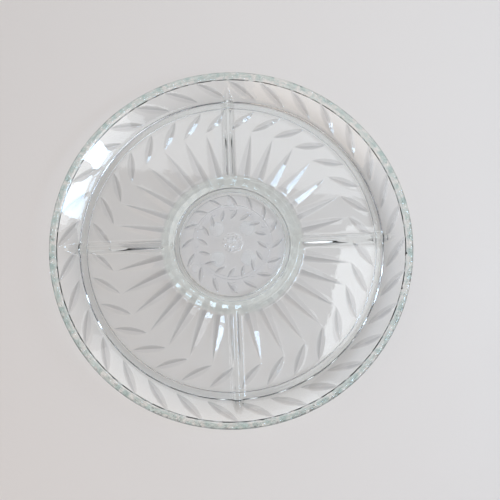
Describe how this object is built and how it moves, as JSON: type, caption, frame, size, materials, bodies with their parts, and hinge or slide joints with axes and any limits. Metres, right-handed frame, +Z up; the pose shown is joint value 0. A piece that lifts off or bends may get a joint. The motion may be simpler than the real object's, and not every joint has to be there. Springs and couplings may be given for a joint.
{
  "type": "lazy susan turntable",
  "caption": "Clear pressed-glass serving tray with four outer compartments and a round centre well, turning on a low clear ball-bearing base.",
  "frame": {"origin": "on the spin axis, at the table surface under the feet", "axes": "+Z up along the spin axis; a rib of the tray lies along +X at rest"},
  "size_m": [0.33, 0.33, 0.0225],
  "materials": {
    "pressed_glass": "polished, with a faint green cast where it is thick",
    "clear_plastic": "clear polycarbonate, gloss",
    "ball_glass": "polished",
    "silicone": "clear silicone, satin"
  },
  "bodies": {
    "base": {"base_plate": "clear_plastic", "pivot_pin": "clear_plastic", "thrust_washer": "clear_plastic", "retaining_clip": "clear_plastic", "foot_1": "silicone", "foot_2": "silicone", "foot_3": "silicone", "foot_4": "silicone", "foot_5": "silicone", "foot_6": "silicone"},
    "head": {"head_plate": "clear_plastic", "grip_pad_1": "silicone", "grip_pad_2": "silicone", "grip_pad_3": "silicone", "grip_pad_4": "silicone"},
    "tray": {"glass_tray": "pressed_glass"},
    "cage": {"ball_cage": "clear_plastic"},
    "rolling_ball_01": {"ball_01": "ball_glass"},
    "rolling_ball_02": {"ball_02": "ball_glass"},
    "rolling_ball_03": {"ball_03": "ball_glass"},
    "rolling_ball_04": {"ball_04": "ball_glass"},
    "rolling_ball_05": {"ball_05": "ball_glass"},
    "rolling_ball_06": {"ball_06": "ball_glass"},
    "rolling_ball_07": {"ball_07": "ball_glass"},
    "rolling_ball_08": {"ball_08": "ball_glass"},
    "rolling_ball_09": {"ball_09": "ball_glass"},
    "rolling_ball_10": {"ball_10": "ball_glass"},
    "rolling_ball_11": {"ball_11": "ball_glass"},
    "rolling_ball_12": {"ball_12": "ball_glass"}
  },
  "joints": [
    {"name": "tray_spin", "type": "hinge", "parent": "base", "child": "head", "pos_m": [0, 0, 0.0046], "axis": [0, 0, 1], "continuous": true},
    {"name": "tray_lift", "type": "slide", "parent": "head", "child": "tray", "axis": [0, 0, 1], "range_m": [0, 0.03]},
    {"name": "cage_orbit", "type": "hinge", "parent": "base", "child": "cage", "pos_m": [0, 0, 0.0046], "axis": [0, 0, 1], "continuous": true},
    {"name": "ball_roll_01", "type": "hinge", "parent": "cage", "child": "rolling_ball_01", "pos_m": [0.034, 0, 0.0046], "axis": [1, 0, 0], "continuous": true},
    {"name": "ball_roll_02", "type": "hinge", "parent": "cage", "child": "rolling_ball_02", "pos_m": [0.02944, 0.017, 0.0046], "axis": [0.866, 0.5, 0], "continuous": true},
    {"name": "ball_roll_03", "type": "hinge", "parent": "cage", "child": "rolling_ball_03", "pos_m": [0.017, 0.02944, 0.0046], "axis": [0.5, 0.866, 0], "continuous": true},
    {"name": "ball_roll_04", "type": "hinge", "parent": "cage", "child": "rolling_ball_04", "pos_m": [0, 0.034, 0.0046], "axis": [0, 1, 0], "continuous": true},
    {"name": "ball_roll_05", "type": "hinge", "parent": "cage", "child": "rolling_ball_05", "pos_m": [-0.017, 0.02944, 0.0046], "axis": [-0.5, 0.866, 0], "continuous": true},
    {"name": "ball_roll_06", "type": "hinge", "parent": "cage", "child": "rolling_ball_06", "pos_m": [-0.02944, 0.017, 0.0046], "axis": [-0.866, 0.5, 0], "continuous": true},
    {"name": "ball_roll_07", "type": "hinge", "parent": "cage", "child": "rolling_ball_07", "pos_m": [-0.034, 0, 0.0046], "axis": [-1, 0, 0], "continuous": true},
    {"name": "ball_roll_08", "type": "hinge", "parent": "cage", "child": "rolling_ball_08", "pos_m": [-0.02944, -0.017, 0.0046], "axis": [-0.866, -0.5, 0], "continuous": true},
    {"name": "ball_roll_09", "type": "hinge", "parent": "cage", "child": "rolling_ball_09", "pos_m": [-0.017, -0.02944, 0.0046], "axis": [-0.5, -0.866, 0], "continuous": true},
    {"name": "ball_roll_10", "type": "hinge", "parent": "cage", "child": "rolling_ball_10", "pos_m": [0, -0.034, 0.0046], "axis": [0, -1, 0], "continuous": true},
    {"name": "ball_roll_11", "type": "hinge", "parent": "cage", "child": "rolling_ball_11", "pos_m": [0.017, -0.02944, 0.0046], "axis": [0.5, -0.866, 0], "continuous": true},
    {"name": "ball_roll_12", "type": "hinge", "parent": "cage", "child": "rolling_ball_12", "pos_m": [0.02944, -0.017, 0.0046], "axis": [0.866, -0.5, 0], "continuous": true}
  ],
  "couplings": [
    {"joint": "cage_orbit", "follows": "tray_spin", "ratio": 0.5},
    {"joint": "ball_roll_01", "follows": "tray_spin", "ratio": -8.5},
    {"joint": "ball_roll_02", "follows": "tray_spin", "ratio": -8.5},
    {"joint": "ball_roll_03", "follows": "tray_spin", "ratio": -8.5},
    {"joint": "ball_roll_04", "follows": "tray_spin", "ratio": -8.5},
    {"joint": "ball_roll_05", "follows": "tray_spin", "ratio": -8.5},
    {"joint": "ball_roll_06", "follows": "tray_spin", "ratio": -8.5},
    {"joint": "ball_roll_07", "follows": "tray_spin", "ratio": -8.5},
    {"joint": "ball_roll_08", "follows": "tray_spin", "ratio": -8.5},
    {"joint": "ball_roll_09", "follows": "tray_spin", "ratio": -8.5},
    {"joint": "ball_roll_10", "follows": "tray_spin", "ratio": -8.5},
    {"joint": "ball_roll_11", "follows": "tray_spin", "ratio": -8.5},
    {"joint": "ball_roll_12", "follows": "tray_spin", "ratio": -8.5}
  ]
}
